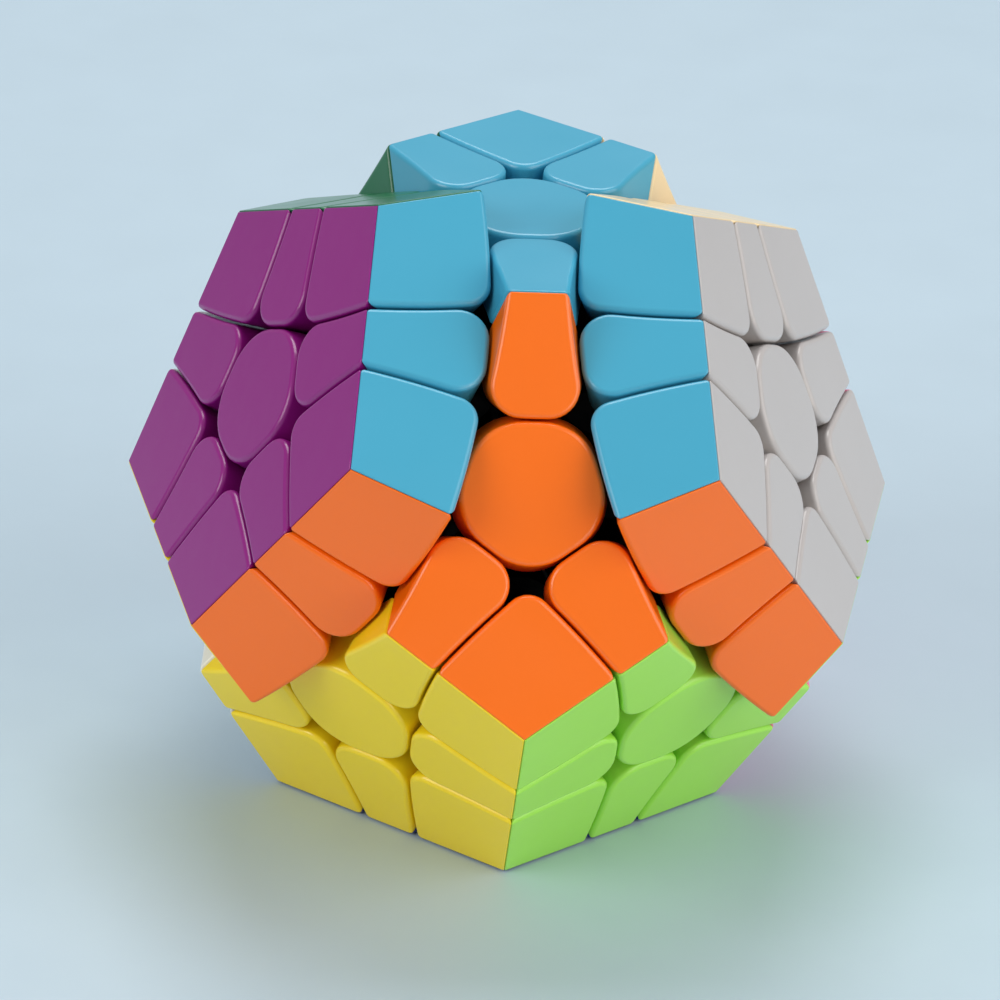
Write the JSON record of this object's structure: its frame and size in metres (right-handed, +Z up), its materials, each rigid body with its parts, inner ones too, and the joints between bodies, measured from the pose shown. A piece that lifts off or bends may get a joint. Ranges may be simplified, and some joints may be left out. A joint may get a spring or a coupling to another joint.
{
  "type": "dodecahedron twisty puzzle",
  "caption": "Dodecahedron twisty puzzle with a different colour on each face, whose face layers turn about screws in a hidden ball core.",
  "frame": {"origin": "centre of the bottom face, on the surface the puzzle stands on", "axes": "+Z up through the top face, -Y towards the front upper face, +X to the viewer's right"},
  "size_m": [0.0972, 0.0964, 0.0838],
  "materials": {
    "sky_blue": "moulded, semi-gloss",
    "orange": "moulded, semi-gloss",
    "grey": "moulded, semi-gloss",
    "cream": "moulded, semi-gloss",
    "green": "moulded, semi-gloss",
    "purple": "moulded, semi-gloss",
    "lime": "moulded, semi-gloss",
    "pink": "moulded, semi-gloss",
    "red": "moulded, semi-gloss",
    "white": "moulded, semi-gloss",
    "yellow": "moulded, semi-gloss",
    "dark_blue": "moulded, semi-gloss",
    "black_plastic": "moulded, matt",
    "steel": "plated"
  },
  "bodies": {
    "core_block": {"core_upper_half": "black_plastic", "core_lower_half": "black_plastic", "face_screws": "steel", "spring_washers": "steel", "face_springs": "steel", "core_centre_bases": "black_plastic", "core_edge_inserts": "black_plastic", "core_corner_inserts": "black_plastic", "sky_blue_centre_cap": "sky_blue", "orange_centre_cap": "orange", "cream_centre_cap": "cream", "green_centre_cap": "green", "lime_centre_cap": "lime", "pink_centre_cap": "pink", "red_centre_cap": "red", "white_centre_cap": "white", "yellow_centre_cap": "yellow", "core_shells_sky_blue": "sky_blue", "core_shells_orange": "orange", "core_shells_cream": "cream", "core_shells_green": "green", "core_shells_lime": "lime", "core_shells_pink": "pink", "core_shells_red": "red", "core_shells_white": "white", "core_shells_yellow": "yellow"},
    "left_layer": {"left_centre_bases": "black_plastic", "left_edge_inserts": "black_plastic", "left_corner_inserts": "black_plastic", "purple_centre_cap": "purple", "purple_corner_shells": "purple", "purple_edge_shells": "purple", "left_strip_sky_blue": "sky_blue", "left_strip_orange": "orange", "left_strip_green": "green", "left_strip_white": "white", "left_strip_yellow": "yellow"},
    "right_layer": {"right_centre_bases": "black_plastic", "right_edge_inserts": "black_plastic", "right_corner_inserts": "black_plastic", "grey_centre_cap": "grey", "grey_corner_shells": "grey", "grey_edge_shells": "grey", "right_strip_sky_blue": "sky_blue", "right_strip_orange": "orange", "right_strip_cream": "cream", "right_strip_lime": "lime", "right_strip_pink": "pink"},
    "bottom_layer": {"bottom_centre_bases": "black_plastic", "bottom_edge_inserts": "black_plastic", "bottom_corner_inserts": "black_plastic", "dark_blue_centre_cap": "dark_blue", "dark_blue_corner_shells": "dark_blue", "dark_blue_edge_shells": "dark_blue", "bottom_strip_lime": "lime", "bottom_strip_pink": "pink", "bottom_strip_red": "red", "bottom_strip_white": "white", "bottom_strip_yellow": "yellow"}
  },
  "joints": [
    {"name": "left_turn", "type": "hinge", "parent": "core_block", "child": "left_layer", "pos_m": [0, 0, 0.03897], "axis": [-0.8507, -0.2764, 0.4472], "continuous": true},
    {"name": "right_turn", "type": "hinge", "parent": "core_block", "child": "right_layer", "pos_m": [0, 0, 0.03897], "axis": [0.8507, -0.2764, 0.4472], "continuous": true},
    {"name": "bottom_turn", "type": "hinge", "parent": "core_block", "child": "bottom_layer", "pos_m": [0, 0, 0.03897], "axis": [0, 0, -1], "continuous": true}
  ]
}
